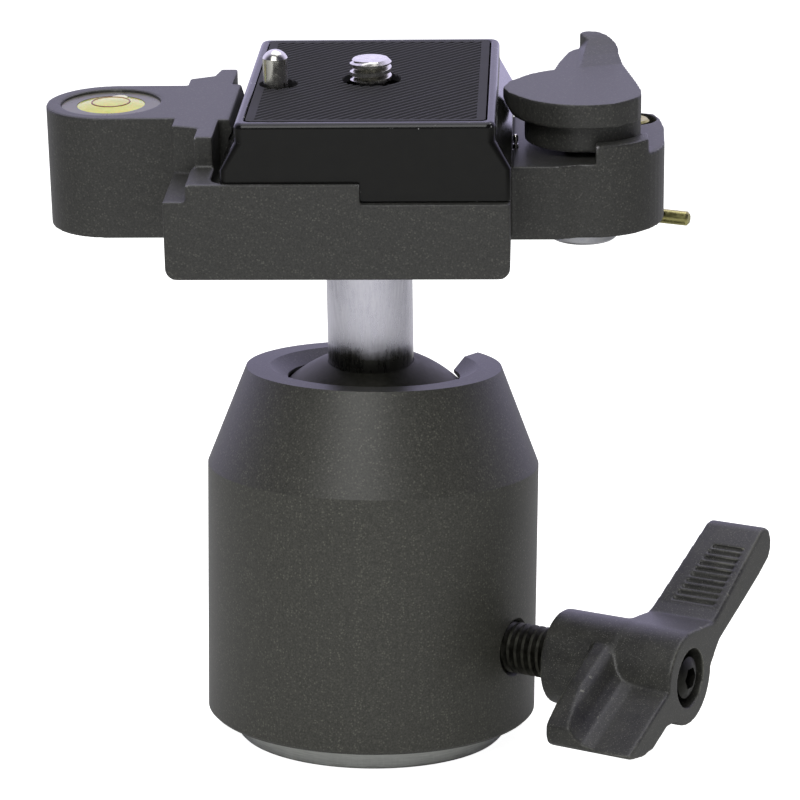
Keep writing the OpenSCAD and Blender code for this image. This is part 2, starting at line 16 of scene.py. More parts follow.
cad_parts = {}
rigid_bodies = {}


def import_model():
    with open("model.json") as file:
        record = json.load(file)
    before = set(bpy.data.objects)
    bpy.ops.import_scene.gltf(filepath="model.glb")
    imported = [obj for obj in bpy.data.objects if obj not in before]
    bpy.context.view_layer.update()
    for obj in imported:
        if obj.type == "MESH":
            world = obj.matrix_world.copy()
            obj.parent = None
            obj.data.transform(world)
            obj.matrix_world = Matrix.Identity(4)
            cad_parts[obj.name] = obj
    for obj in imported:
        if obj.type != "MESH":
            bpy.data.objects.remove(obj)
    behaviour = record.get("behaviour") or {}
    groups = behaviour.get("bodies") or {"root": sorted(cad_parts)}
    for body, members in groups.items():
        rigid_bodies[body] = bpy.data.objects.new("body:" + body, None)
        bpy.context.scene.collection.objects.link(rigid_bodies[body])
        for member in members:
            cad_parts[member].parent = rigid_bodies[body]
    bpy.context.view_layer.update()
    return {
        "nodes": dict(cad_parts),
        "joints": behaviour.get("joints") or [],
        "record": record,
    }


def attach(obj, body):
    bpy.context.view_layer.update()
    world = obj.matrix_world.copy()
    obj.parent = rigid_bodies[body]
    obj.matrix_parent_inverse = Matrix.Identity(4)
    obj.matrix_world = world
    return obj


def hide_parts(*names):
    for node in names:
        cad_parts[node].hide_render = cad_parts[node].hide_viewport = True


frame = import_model()
bpy.ops.object.select_all(action="DESELECT")

# %% [markdown]
# ## Units and frames
# Blender works in metres and the object is described in millimetres, so one name holds the factor.
# The clamp leans with the ball and the lock knob points out of the body at an angle. The joints of the
# CAD model say exactly how, so each of the two gets a matrix of its own: inside it, the clamp stands
# upright and square, and edges and faces can be picked by plain coordinates.

# %% Units and the two tilted frames
MM = 0.001


def joint(name):
    """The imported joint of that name."""
    return next(j for j in frame["joints"] if j["name"] == name)


def frame_matrix(origin, z_axis, y_hint):
    """A matrix that takes a piece from upright to its tilted place."""
    z = Vector(z_axis).normalized()
    x = Vector(y_hint).cross(z).normalized()
    y = z.cross(x)
    turn = Matrix((x, y, z)).transposed().to_4x4()
    return Matrix.Translation(Vector(origin)) @ turn


HEAD = frame_matrix(joint("head_turn")["pos_m"], joint("head_turn")["axis"], joint("plate_slide")["axis"])
KNOB = frame_matrix(joint("lock_turn")["pos_m"], joint("lock_turn")["axis"], (0, 0, 1))
BODY = Matrix.Identity(4)
print("stem direction:", [round(v, 4) for v in HEAD.col[2][:3]])

# %% [markdown]
# ## Camera
# The head is seen from a little above, through a long lens from half a metre away, which keeps the
# verticals nearly parallel. The small shift puts the object where it belongs in the square frame.

# %% Camera
camera_place = Vector((0, -0.4807, 0.1578))
# In radians: the camera looks down by 11.6 degrees and leans over by 0.4
pitch = 0.2021
roll = 0.00745
forward = Vector((0, math.cos(pitch), -math.sin(pitch)))
level_right = Vector((1, 0, 0))
level_up = level_right.cross(forward)
right = level_right * math.cos(roll) + level_up * math.sin(roll)
up = level_up * math.cos(roll) - level_right * math.sin(roll)
camera_turn = Matrix((right, up, -forward)).transposed().to_4x4()

bpy.ops.object.camera_add()
camera = bpy.context.object
camera.matrix_world = Matrix.Translation(camera_place) @ camera_turn
camera.data.sensor_width = 36
camera.data.lens = 139.9
camera.data.shift_x = 0.03245
camera.data.shift_y = -0.0418
camera.data.clip_start = 0.01
bpy.context.scene.camera = camera
bpy.context.scene.view_settings.view_transform = "Standard"
print("camera height in mm:", round(camera_place.z / MM, 1))

# %% [markdown]
# ## Small helpers for materials
# Artists read a colour as a hex value, while the renderer wants linear light, so one function turns one
# into the other. Another adds a node, gives it its settings and fills or links its sockets, so that
# a material reads as a list of what it is made of. Two more begin a material and end it. Pattern sizes
# are given in millimetres.

# %% Material helpers
def linear(hex_colour):
    """A hex colour as linear RGBA."""
    values = [int(hex_colour[i:i + 2], 16) / 255 for i in (1, 3, 5)]
    return [v / 12.92 if v <= 0.04045 else ((v + 0.055) / 1.055) ** 2.4 for v in values] + [1]


def per_mm(size):
    """The scale at which a texture's features are that many millimetres apart."""
    return 1 / (size * MM)


def add(tree, kind, sockets=None, **settings):
    """Adds a node, sets it up, and fills or links its input sockets."""
    node = tree.nodes.new(kind)
    for name, value in settings.items():
        setattr(node, name, value)
    for name, value in (sockets or {}).items():
        if isinstance(value, bpy.types.NodeSocket):
            tree.links.new(value, node.inputs[name])
        else:
            node.inputs[name].default_value = value
    return node


def new_material(name):
    """An empty material and its node tree."""
    material = bpy.data.materials.new(name)
    material.use_nodes = True
    material.node_tree.nodes.clear()
    return material, material.node_tree


def surface(tree, sockets):
    """Adds the material's main shader and wires it to its output."""
    shader = add(tree, "ShaderNodeBsdfPrincipled", sockets)
    add(tree, "ShaderNodeOutputMaterial", {"Surface": shader.outputs["BSDF"]})


# A Mix node's sockets by number: its two numbers, its two colours, and the mixed colour it gives
NUM_A, NUM_B = 2, 3
A, B, MIXED = 6, 7, 2
print("a mid grey in linear light:", round(linear("#808080")[0], 3))

# %% [markdown]
# ## Studio
# A product table: a pale board, a white room, one large lamp overhead and a stronger one above and to the
# left of the camera. Camera rays see the room and the lit board as white, while a trace of shadow round
# the foot stays. What mirrors see is graded: white behind, pale overhead, and dark in front, where the
# room behind a photographer begins. That keeps the front faces dark and gives faces seen at a grazing
# angle their pale, slightly violet sheen. The board shows in mirrors too, and dims towards its sides.

# %% Room
world = bpy.data.worlds.new("studio_room")
bpy.context.scene.world = world
world.use_nodes = True
room = world.node_tree
room.nodes.clear()
rays = add(room, "ShaderNodeLightPath")
direction = add(room, "ShaderNodeSeparateXYZ", {0: add(room, "ShaderNodeTexCoord").outputs["Generated"]})
# How far a ray points backwards, plus about a third of how far it points up
raised = add(room, "ShaderNodeMath", {0: direction.outputs["Z"], 1: 0.35, 2: direction.outputs["Y"]},
             operation="MULTIPLY_ADD")
behind = add(room, "ShaderNodeMapRange", {
    "Value": raised.outputs[0], "From Min": 0.05, "From Max": 0.65, "To Min": 0.1, "To Max": 1.35})
mirror = add(room, "ShaderNodeMath", {
    0: rays.outputs["Is Glossy Ray"], 1: rays.outputs["Is Transmission Ray"]}, operation="MAXIMUM")
# Matt surfaces get the same dim light from all sides, mirrors see the graded room, the camera sees white
level = add(room, "ShaderNodeMix", {0: mirror.outputs[0], NUM_A: 0.35, NUM_B: behind.outputs[0]})
strength = add(room, "ShaderNodeMix", {
    0: rays.outputs["Is Camera Ray"], NUM_A: level.outputs[0], NUM_B: 1.0})
tint = add(room, "ShaderNodeMix", {0: mirror.outputs[0], A: linear("#ffffff"), B: linear("#dfd9ff")},
           data_type="RGBA")
sky = add(room, "ShaderNodeBackground", {"Color": tint.outputs[MIXED], "Strength": strength.outputs[0]})
add(room, "ShaderNodeOutputWorld", {"Surface": sky.outputs[0]})
print("room nodes:", len(room.nodes))


# %% Floor
def floor_paint():
    """Matt white board. Camera rays also see it glow, so that all but the shadow on it is white."""
    material, tree = new_material("white_board")
    light = add(tree, "ShaderNodeLightPath")
    side = add(tree, "ShaderNodeNewGeometry")
    # Mirrors see the board a little dim in front of the head, and dimmer to its left and right
    spot = add(tree, "ShaderNodeSeparateXYZ", {0: add(tree, "ShaderNodeTexCoord").outputs["Object"]})
    near = add(tree, "ShaderNodeMapRange", {"Value": spot.outputs["Y"], "From Min": 0.35, "From Max": 0.05})
    off = add(tree, "ShaderNodeMath", {0: spot.outputs["X"]}, operation="ABSOLUTE")
    beside = add(tree, "ShaderNodeMapRange", {
        "Value": off.outputs[0], "From Min": 0.1, "From Max": 0.35, "To Min": 0.15, "To Max": 0.5})
    dim = add(tree, "ShaderNodeMath", {0: near.outputs[0], 1: beside.outputs[0]}, operation="MULTIPLY")
    seen = add(tree, "ShaderNodeMath", {0: dim.outputs[0], 1: light.outputs["Is Glossy Ray"]},
               operation="MULTIPLY")
    shade = add(tree, "ShaderNodeMix", {0: seen.outputs[0], A: linear("#f4f4f4"), B: linear("#2a2a2a")},
                data_type="RGBA")
    matt = add(tree, "ShaderNodeBsdfDiffuse", {"Color": shade.outputs[MIXED]})
    lift = add(tree, "ShaderNodeMath", {0: light.outputs["Is Camera Ray"], 1: 0.92}, operation="MULTIPLY")
    glow = add(tree, "ShaderNodeEmission", {"Strength": lift.outputs[0]})
    lit = add(tree, "ShaderNodeAddShader", {0: matt.outputs[0], 1: glow.outputs[0]})
    clear = add(tree, "ShaderNodeBsdfTransparent")
    # Seen from below the board is clear, so that a camera under it sees the head
    both = add(tree, "ShaderNodeMixShader", {
        0: side.outputs["Backfacing"], 1: lit.outputs[0], 2: clear.outputs[0]})
    add(tree, "ShaderNodeOutputMaterial", {"Surface": both.outputs[0]})
    return material


# The board lies a hair under the foot, because two faces in one plane would flicker
bpy.ops.mesh.primitive_plane_add(size=6, location=(0, 0, -0.00002))
floor = bpy.context.object
floor.name = "floor"
floor.data.materials.append(floor_paint())
print("board size in m:", [round(side, 2) for side in floor.dimensions[:2]])


# %% Lamps
def lamp(name, place, aim, size, watts):
    """A plain square soft box at place that points at aim."""
    bpy.ops.object.light_add(type="AREA", location=place)
    light = bpy.context.object
    light.name = name
    light.rotation_mode = "QUATERNION"
    light.rotation_quaternion = (Vector(aim) - Vector(place)).to_track_quat("-Z", "Y")
    light.data.size = size
    light.data.energy = watts


middle = (0, 0, 0.06)
lamp("overhead_lamp", place=(0.05, 0.1, 0.85), aim=middle, size=0.7, watts=2.3)
lamp("front_lamp", place=(-0.16, -0.66, 0.64), aim=middle, size=0.5, watts=3.9)

# %% [markdown]
# ## Wear and flecks
# Two patterns are needed more than once, so each is a function that adds its nodes and returns the last
# socket. An edge wears where it stands out. Pointiness says how convex a mesh is at each vertex, so on
# a dense mesh it finds those edges, and two noises leave gaps in the line. Flecks sit in the cells of a
# Voronoi pattern, in those whose random value is high. On the powder coat they are painted glints, on
# the nylon specks of glass fibre.

# %% Worn edges and flecks
def worn_edge(tree, place, low, high, amount):
    """Where a convex edge of a dense mesh is rubbed bare, from 0 to 1, broken up by noise.

    low and high are the Pointiness at which the edge begins and is whole. amount closes the gaps.
    """
    bend = add(tree, "ShaderNodeNewGeometry").outputs["Pointiness"]
    edge = add(tree, "ShaderNodeMapRange", {"Value": bend, "From Min": low, "From Max": high})
    rub = add(tree, "ShaderNodeTexNoise", {
        "Vector": place, "Scale": per_mm(0.45), "Detail": 5, "Roughness": 0.75})
    stretch = add(tree, "ShaderNodeTexNoise", {"Vector": place, "Scale": per_mm(7), "Detail": 2})
    where = add(tree, "ShaderNodeMath", {0: rub.outputs[0], 1: stretch.outputs[0]}, operation="ADD")
    more = 0.25 * amount
    spots = add(tree, "ShaderNodeMapRange", {
        "Value": where.outputs[0], "From Min": 1.2 - more, "From Max": 1.34 - more})
    worn = add(tree, "ShaderNodeMath", {0: edge.outputs[0], 1: spots.outputs[0]}, operation="MULTIPLY")
    return worn.outputs[0]


def flecks(tree, place, spacing, plain, full, reach):
    """Round flecks in some cells of a pattern, from 0 to 1. spacing is the size of a cell in mm.

    A cell whose random value is under plain has no fleck, and one over full has a whole one. A fleck
    fades out at reach, a share of the spacing.
    """
    cells = add(tree, "ShaderNodeTexVoronoi", {"Vector": place, "Scale": per_mm(spacing)})
    chosen = add(tree, "ShaderNodeMapRange", {
        "Value": cells.outputs["Color"], "From Min": plain, "From Max": full})
    core = add(tree, "ShaderNodeMapRange", {
        "Value": cells.outputs["Distance"], "From Min": reach, "From Max": 0.1})
    fleck = add(tree, "ShaderNodeMath", {0: chosen.outputs[0], 1: core.outputs[0]}, operation="MULTIPLY")
    return fleck.outputs[0]


# %% [markdown]
# ## Powder coat
# Body, clamp and lever are aluminium castings with a baked powder coat. The powder melts into a skin of
# fine pebbles, about a third of a millimetre apart. Its dark olive grey is broken by pale flecks, which
# are painted glints where a pebble would catch the light, and on the body's bevels a paler coat is a
# painted highlight. A noise gives the pebbles, Voronoi cells the painted glints, and a slow noise makes
# these stronger in places.

# %% Powder coat
def powder_coat(name, dark, pale, fleck, wear=0.0):
    """Baked, fine-textured powder coat. wear is how much of its convex edges is rubbed pale, 0 to 1."""
    material, tree = new_material(name)
    place = add(tree, "ShaderNodeTexCoord").outputs["Object"]
    pebbles = add(tree, "ShaderNodeTexNoise", {
        "Vector": place, "Scale": per_mm(0.3), "Detail": 5, "Roughness": 0.75})
    cloud = add(tree, "ShaderNodeTexNoise", {"Vector": place, "Scale": per_mm(6), "Detail": 3})
    # Pale flecks in some cells are painted glints, where a pebble would catch the light
    painted_glints = flecks(tree, place, spacing=0.33, plain=0.5, full=0.8, reach=0.55)
    patch = add(tree, "ShaderNodeMapRange", {
        "Value": cloud.outputs[0], "From Min": 0.35, "From Max": 0.7, "To Min": 0.5, "To Max": 0.9})
    painted_glint_strength = add(tree, "ShaderNodeMath", {0: painted_glints, 1: patch.outputs[0]}, operation="MULTIPLY")
    tone = add(tree, "ShaderNodeMapRange", {
        "Value": pebbles.outputs[0], "From Min": 0.36, "From Max": 0.66})
    skin = add(tree, "ShaderNodeMix", {0: tone.outputs[0], A: linear(dark), B: linear(pale)},
               data_type="RGBA")
    colour = add(tree, "ShaderNodeMix", {0: painted_glint_strength.outputs[0], A: skin.outputs[MIXED], B: linear(fleck)},
                 data_type="RGBA").outputs[MIXED]
    if wear:
        bare = worn_edge(tree, place, low=0.53, high=0.6, amount=wear)
        colour = add(tree, "ShaderNodeMix", {0: bare, A: colour, B: linear("#a9a8ac")},
                     data_type="RGBA").outputs[MIXED]
    rough = add(tree, "ShaderNodeMapRange", {"Value": pebbles.outputs[0], "To Min": 0.38, "To Max": 0.52})
    bump = add(tree, "ShaderNodeBump", {
        "Height": pebbles.outputs[0], "Strength": 0.3, "Distance": 0.04 * MM})
    surface(tree, {
        "Base Color": colour, "Roughness": rough.outputs[0], "IOR": 1.5, "Normal": bump.outputs[0]})
    return material


# Each fleck colour below is the colour of the painted glints
# On the body, on the handled castings, and on the bevels of the body, paler there as a painted highlight
coat = powder_coat("powder_coat", dark="#2d2d28", pale="#484842", fleck="#6c6c61")
coat_worn = powder_coat("powder_coat_worn", dark="#272725", pale="#3d3d3a", fleck="#5d5d56", wear=0.6)
edge_highlight_coat = powder_coat("powder_coat_edge", dark="#3a3a35", pale="#58584f", fleck="#7c7c72")
print("powder coats:", coat.name, coat_worn.name, edge_highlight_coat.name)

# %% [markdown]
# ## Gloss paint
# The plate is die-cast and stove-enamelled in gloss black. Enamel is smooth, but it pulls thin at the
# rim, where knocks have chipped it down to the grey casting. Enamel has an IOR of about 1.5. Here it is
# set lower, which mirrors less of the white room and keeps the plate as black as it should look.

# %% Gloss black enamel
def gloss_enamel(name, chips):
    """Smooth black enamel with a faint ripple. chips is how far it is knocked bare, 0 to 1."""
    material, tree = new_material(name)
    place = add(tree, "ShaderNodeTexCoord").outputs["Object"]
    ripple = add(tree, "ShaderNodeTexNoise", {"Vector": place, "Scale": per_mm(1.8), "Detail": 3})
    dust = add(tree, "ShaderNodeTexNoise", {"Vector": place, "Scale": per_mm(0.5), "Detail": 3})
    tone = add(tree, "ShaderNodeMix", {0: ripple.outputs[0], A: linear("#0b0b0a"), B: linear("#141412")},
               data_type="RGBA")
    rough = add(tree, "ShaderNodeMapRange", {"Value": dust.outputs[0], "To Min": 0.1, "To Max": 0.26})
    chip = add(tree, "ShaderNodeTexNoise", {
        "Vector": place, "Scale": per_mm(1.3), "Detail": 6, "Roughness": 0.75})
    more = 0.12 * chips
    bare = add(tree, "ShaderNodeMapRange", {
        "Value": chip.outputs[0], "From Min": 0.74 - more, "From Max": 0.76 - more})
    colour = add(tree, "ShaderNodeMix", {0: bare.outputs[0], A: tone.outputs[MIXED], B: linear("#9b9a9c")},
                 data_type="RGBA")
    bump = add(tree, "ShaderNodeBump", {
        "Height": ripple.outputs[0], "Strength": 0.12, "Distance": 0.08 * MM})
    surface(tree, {"Base Color": colour.outputs[MIXED], "Roughness": rough.outputs[0], "IOR": 1.33,
                   "Normal": bump.outputs[0]})
    return material


enamel = gloss_enamel("gloss_enamel", chips=0.2)
enamel_edge = gloss_enamel("gloss_enamel_edge", chips=0.9)
print("enamels:", enamel.name, enamel_edge.name)

# %% [markdown]
# ## Metals
# All metals share one recipe, because a metal's look is its tint, its roughness and the marks of the
# tool that made it. The turned foot has fine rings, the chromed stem faint streaks along its length, and
# the plated parts only smudges. Rings and streaks are a stretched noise, whose features are close
# together across the marks and far apart along them.

# %% Metals
def metal(name, dark, pale, rough, lines=(0.8, 0.8, 0.8), smudge=0.12, bump_depth=0.0, shade_z=None):
    """A metal between two tints. lines gives the tool marks' spacing along X, Y and Z, in mm.

    smudge is how far the roughness strays either way. Below about a height given by the last
    argument, in mm, the metal is darkened as painted shade.
    """
    material, tree = new_material(name)
    place = add(tree, "ShaderNodeTexCoord").outputs["Object"]
    cloud = add(tree, "ShaderNodeTexNoise", {
        "Vector": place, "Scale": per_mm(5), "Detail": 5, "Roughness": 0.6})
    stretch = add(tree, "ShaderNodeMapping", {"Vector": place, "Scale": [per_mm(s) for s in lines]})
    marks = add(tree, "ShaderNodeTexNoise", {"Vector": stretch.outputs[0], "Scale": 1, "Detail": 3})
    mixed = add(tree, "ShaderNodeMix", {0: 0.5, NUM_A: cloud.outputs[0], NUM_B: marks.outputs[0]})
    tone = add(tree, "ShaderNodeMapRange", {
        "Value": mixed.outputs[0], "From Min": 0.35, "From Max": 0.65})
    colour = add(tree, "ShaderNodeMix", {0: tone.outputs[0], A: linear(dark), B: linear(pale)},
                 data_type="RGBA").outputs[MIXED]
    if shade_z:
        # The noise lifts each point by 0 to 4 mm, 2 on average, which makes the edge of the painted shade
        # ragged
        unshaded_above = shade_z + 2.9
        shaded_below = shade_z + 1.2
        height = add(tree, "ShaderNodeSeparateXYZ", {0: place}).outputs["Z"]
        ragged = add(tree, "ShaderNodeMath", {0: cloud.outputs[0], 1: 4 * MM, 2: height},
                     operation="MULTIPLY_ADD")
        painted_shade = add(tree, "ShaderNodeMapRange", {
            "Value": ragged.outputs[0], "From Min": unshaded_above * MM, "From Max": shaded_below * MM,
            "To Max": 0.95})
        # Below that height the colour is mixed towards a dull grey: painted shade
        colour = add(tree, "ShaderNodeMix", {0: painted_shade.outputs[0], A: colour, B: linear("#5e5e55")},
                     data_type="RGBA").outputs[MIXED]
    gloss = add(tree, "ShaderNodeMapRange", {
        "Value": mixed.outputs[0], "From Min": 0.35, "From Max": 0.65,
        "To Min": max(rough - smudge, 0.05), "To Max": rough + smudge})
    sockets = {"Base Color": colour, "Metallic": 1.0, "Roughness": gloss.outputs[0]}
    if bump_depth:
        bump = add(tree, "ShaderNodeBump", {
            "Height": marks.outputs[0], "Strength": 0.4, "Distance": bump_depth * MM})
        sockets["Normal"] = bump.outputs[0]
    surface(tree, sockets)
    return material


# Chrome on the polished stem: bright and a little blue, with painted shade darkening it where it leaves the
# ball
satin_chrome = metal("satin_chrome", "#c9c8d4", "#ecebf4", rough=0.3, lines=(0.5, 0.5, 9), smudge=0.1,
                     bump_depth=0.006, shade_z=63)
# Nickel on pins and the camera screw: bright and a little warm
bright_nickel = metal("bright_nickel", "#c6c5bd", "#e9e8de", rough=0.22, smudge=0.08)
# Aluminium as the lathe left it: pale, with fine rings
turned_aluminium = metal("turned_aluminium", "#b4b6b2", "#d6d8d3", rough=0.42, lines=(3, 3, 0.2),
                         bump_depth=0.02)
# Bare castings inside the body: plain grey and a little grainy
cast_aluminium = metal("cast_aluminium", "#9a9b98", "#b9bab6", rough=0.5, smudge=0.1, bump_depth=0.02)
# The ball's anodised skin: dark olive grey and dull
ball_anodise = metal("ball_anodise", "#4c4c44", "#62625a", rough=0.55, smudge=0.08)
# Zinc on screws and inserts: light grey with a cold tint
zinc_plate = metal("zinc_plate", "#9c9ea6", "#c2c2c4", rough=0.34)
# Hardened spring steel: darker, and smooth from drawing
spring_wire = metal("spring_wire", "#55565c", "#7d7e84", rough=0.35, smudge=0.08)
# Blackened steel, and the same on the stud, where the thread has rubbed it paler
black_oxide = metal("black_oxide", "#1c1c1a", "#33332f", rough=0.42, bump_depth=0.01)
worn_oxide = metal("worn_oxide", "#35352f", "#55554d", rough=0.5, bump_depth=0.01)
# Old brass: a dull, greenish yellow
tarnished_brass = metal("tarnished_brass", "#8f8a58", "#c6c184", rough=0.36, smudge=0.14)
print("materials after the metals:", len(bpy.data.materials))

# %% [markdown]
# ## Plastics and rubber
# The knob is black nylon filled with short glass fibre, which leaves a mottled skin with pale specks of
# fibre. Seats and washers are natural acetal, which lets a little light in. The pad is moulded rubber:
# matt, nearly black, dusty in places. The level's parts are smooth and let light in too, all but its
# printed ring.

# %% Plastics and rubber
def moulded(name, dark, pale, rough, grain, speck=None, scatter=0.0):
    """A moulded plastic or rubber with a grain in mm. speck is the colour of its specks and worn edges."""
    material, tree = new_material(name)
    place = add(tree, "ShaderNodeTexCoord").outputs["Object"]
    skin = add(tree, "ShaderNodeTexNoise", {
        "Vector": place, "Scale": per_mm(grain), "Detail": 4, "Roughness": 0.6})
    cloud = add(tree, "ShaderNodeTexNoise", {"Vector": place, "Scale": per_mm(4), "Detail": 3})
    both = add(tree, "ShaderNodeMix", {0: 0.5, NUM_A: skin.outputs[0], NUM_B: cloud.outputs[0]})
    tone = add(tree, "ShaderNodeMapRange", {"Value": both.outputs[0], "From Min": 0.35, "From Max": 0.65})
    colour = add(tree, "ShaderNodeMix", {0: tone.outputs[0], A: linear(dark), B: linear(pale)},
                 data_type="RGBA").outputs[MIXED]
    if speck:
        # A glass fibre is far thinner than this, so each speck stands for a small bundle that shows
        fibres = flecks(tree, place, spacing=0.2, plain=0.55, full=0.9, reach=0.5)
        worn = worn_edge(tree, place, low=0.51, high=0.56, amount=0.9)
        spots = add(tree, "ShaderNodeMath", {0: fibres, 1: worn}, operation="MAXIMUM")
        colour = add(tree, "ShaderNodeMix", {0: spots.outputs[0], A: colour, B: linear(speck)},
                     data_type="RGBA").outputs[MIXED]
    stray = 0.12
    gloss = add(tree, "ShaderNodeMapRange", {
        "Value": both.outputs[0], "To Min": rough - stray, "To Max": rough + stray})
    bump = add(tree, "ShaderNodeBump", {
        "Height": skin.outputs[0], "Strength": 0.3, "Distance": 0.05 * MM})
    surface(tree, {
        "Base Color": colour, "Roughness": gloss.outputs[0], "IOR": 1.5, "Normal": bump.outputs[0],
        "Subsurface Weight": scatter, "Subsurface Scale": 0.5 * MM})
    return material


black_nylon = moulded("black_nylon", "#1c1c1a", "#363631", rough=0.42, grain=0.3, speck="#6f6f66")
natural_acetal = moulded("natural_acetal", "#d6d4c6", "#e9e8de", rough=0.4, grain=0.6, scatter=0.2)
pad_rubber = moulded("pad_rubber", "#0e0e0d", "#1c1c1a", rough=0.75, grain=0.3)
# The level's cup was cream and has stained dark. Its liquid is yellow, with a pale bubble, and the
# printed ring has faded to brick red
level_cream = moulded("level_cream", "#504e42", "#646256", rough=0.3, grain=0.8, scatter=0.05)
level_liquid = moulded("level_liquid", "#c6c55e", "#d8d777", rough=0.15, grain=1.5, scatter=0.3)
level_air = moulded("level_air", "#d8d4a8", "#e4e0bc", rough=0.14, grain=1.5, scatter=0.2)
ring_red = moulded("ring_red", "#7e4e34", "#935f44", rough=0.35, grain=0.5)
print("materials in all:", len(bpy.data.materials))

# %% [markdown]
# ## Helpers for shaping
# Most pieces begin as a copy of a CAD mesh, which has exact faces but knife-sharp edges, while every
# real edge is rounded by casting, paint or a file. In edit mode the copy's loose triangles are welded,
# flat faces are joined again, and chosen edges are bevelled. Bevel faces get their own material slot,
# so that the finish can be worn there, or painted paler as a highlight. Edges are chosen by where they
# lie in the piece's own frame.

# %% Selecting and modifying
def pick(piece):
    """Makes a piece the active object, and the only one that is selected."""
    bpy.ops.object.select_all(action="DESELECT")
    piece.select_set(True)
    bpy.context.view_layer.objects.active = piece


def edit(piece, element="EDGE"):
    """Opens a piece in edit mode, alone."""
    pick(piece)
    bpy.ops.object.mode_set(mode="EDIT")
    bpy.ops.mesh.select_mode(type=element)


def leave():
    """Goes back to object mode."""
    bpy.ops.object.mode_set(mode="OBJECT")


def select(elements, test):
    """Selects the verts, edges or faces of the open mesh that pass a test, and returns their number."""
    bpy.ops.mesh.select_all(action="DESELECT")
    mesh = bmesh.from_edit_mesh(bpy.context.object.data)
    chosen = [e for e in getattr(mesh, elements) if test(e)]
    for element in chosen:
        element.select_set(True)
    mesh.select_flush_mode()
    bmesh.update_edit_mesh(bpy.context.object.data)
    return len(chosen)


def apply_modifier(piece, kind, **settings):
    """Adds a modifier with its settings and applies it."""
    pick(piece)
    modifier = piece.modifiers.new(kind.lower(), kind)
    for name, value in settings.items():
        setattr(modifier, name, value)
    bpy.ops.object.modifier_apply(modifier=modifier.name)


# %% Copies of CAD pieces
bodies = frame["record"]["behaviour"]["bodies"]
body_of_node = {node: body for body, nodes in bodies.items() for node in nodes}
print("nodes on each body:", {body: len(nodes) for body, nodes in bodies.items()})


def stand_for(piece, node):
    """The piece takes a CAD node's place and body, and the node is hidden."""
    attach(piece, body_of_node[node])
    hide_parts(node)


def cad_copy(node, name, upright=BODY):
    """A welded copy of a CAD node, moved into the frame where it stands upright, in metres."""
    weld_gap = 0.002
    flat_angle = 0.4
    piece = bpy.data.objects.new(name, frame["nodes"][node].data.copy())
    bpy.context.scene.collection.objects.link(piece)
    piece.data.materials.clear()
    piece.data.transform(upright.inverted())
    edit(piece)
    bpy.ops.mesh.select_all(action="SELECT")
    bpy.ops.mesh.customdata_custom_splitnormals_clear()
    bpy.ops.mesh.remove_doubles(threshold=weld_gap * MM)
    bpy.ops.mesh.dissolve_limited(angle_limit=math.radians(flat_angle))
    leave()
    return piece


# %% Rounding and smoothing
def round_edges(piece, width, test=None, segments=3, sharper=28):
    """Bevels the edges that are sharper than an angle and pass a test on their middle, in mm."""
    def picked(edge):
        if not edge.is_manifold or edge.calc_face_angle() < math.radians(sharper):
            return False
        middle_mm = (edge.verts[0].co + edge.verts[1].co) / 2 / MM
        return test is None or test(middle_mm)

    # A piece's second material, if it has one, is the finish of its edges
    edge_slot = 1 if len(piece.data.materials) > 1 else -1
    edit(piece)
    count = select("edges", picked)
    if count:
        bpy.ops.mesh.bevel(offset=width * MM, segments=segments, affect="EDGES", clamp_overlap=True,
                           material=edge_slot)
    leave()
    return count


def soften(piece, voxel, passes, keep=1.0):
    """Makes a skin of fine voxels over the piece and smooths it, so that no edge or corner stays sharp."""
    apply_modifier(piece, "REMESH", mode="VOXEL", voxel_size=voxel * MM, adaptivity=0.0)
    apply_modifier(piece, "SMOOTH", factor=0.5, iterations=passes)
    if keep < 1:
        apply_modifier(piece, "DECIMATE", ratio=keep)


def smooth_more(piece, passes, test):
    """Smooths the vertices that pass a test on their place, in mm, so that edges there get rounder."""
    group = piece.vertex_groups.new(name="rounder")
    group.add([v.index for v in piece.data.vertices if test(v.co / MM)], 1, "ADD")
    apply_modifier(piece, "SMOOTH", factor=0.5, iterations=passes, vertex_group=group.name)
    piece.vertex_groups.clear()


def finish_piece(piece, upright=BODY, angle=32):
    """Smooth shading that stops at sharp edges, and back to the place in the object."""
    piece.data.transform(upright)
    pick(piece)
    bpy.ops.object.shade_smooth_by_angle(angle=math.radians(angle))
    apply_modifier(piece, "WEIGHTED_NORMAL", keep_sharp=True)
    triangles = sum(len(p.vertices) - 2 for p in piece.data.polygons)
    print(piece.name, "triangles:", triangles)


# %% Cutting
def place_in_mesh():
    """Moves the new primitive's place into its mesh."""
    bpy.ops.object.transform_apply(location=True, rotation=True, scale=True)
    return bpy.context.object


def cut(piece, cutter, operation="DIFFERENCE"):
    """Cuts one mesh with another, or keeps what they share, and deletes the cutter."""
    apply_modifier(piece, "BOOLEAN", object=cutter, operation=operation, solver="EXACT")
    bpy.data.objects.remove(cutter)


def cut_thread(piece, radius, depth, pitch, low, high, at=(0, 0)):
    """Cuts a 60-degree thread along Z, in mm. A positive depth cuts outwards, as in a nut."""
    outwards = math.copysign(1, depth)
    # The triangle's tip is at the bottom of the groove, and its base stands a little out of the surface
    mouth = 0.15
    size = (abs(depth) + mouth) / 1.5
    centre = radius + depth - outwards * size
    steps = 40
    bpy.ops.mesh.primitive_circle_add(
        vertices=3, radius=size * MM, location=(centre * MM, 0, low * MM),
        rotation=(math.pi / 2, outwards * math.pi / 2, 0))
    groove = place_in_mesh()
    apply_modifier(groove, "SCREW", screw_offset=pitch * MM, iterations=math.ceil((high - low) / pitch),
                   steps=steps, render_steps=steps, use_smooth_shade=False)
    edit(groove)
    bpy.ops.mesh.select_all(action="SELECT")
    bpy.ops.mesh.fill_holes(sides=3)
    bpy.ops.mesh.normals_make_consistent(inside=False)
    bpy.ops.transform.translate(value=(at[0] * MM, at[1] * MM, 0))
    leave()
    cut(piece, groove)


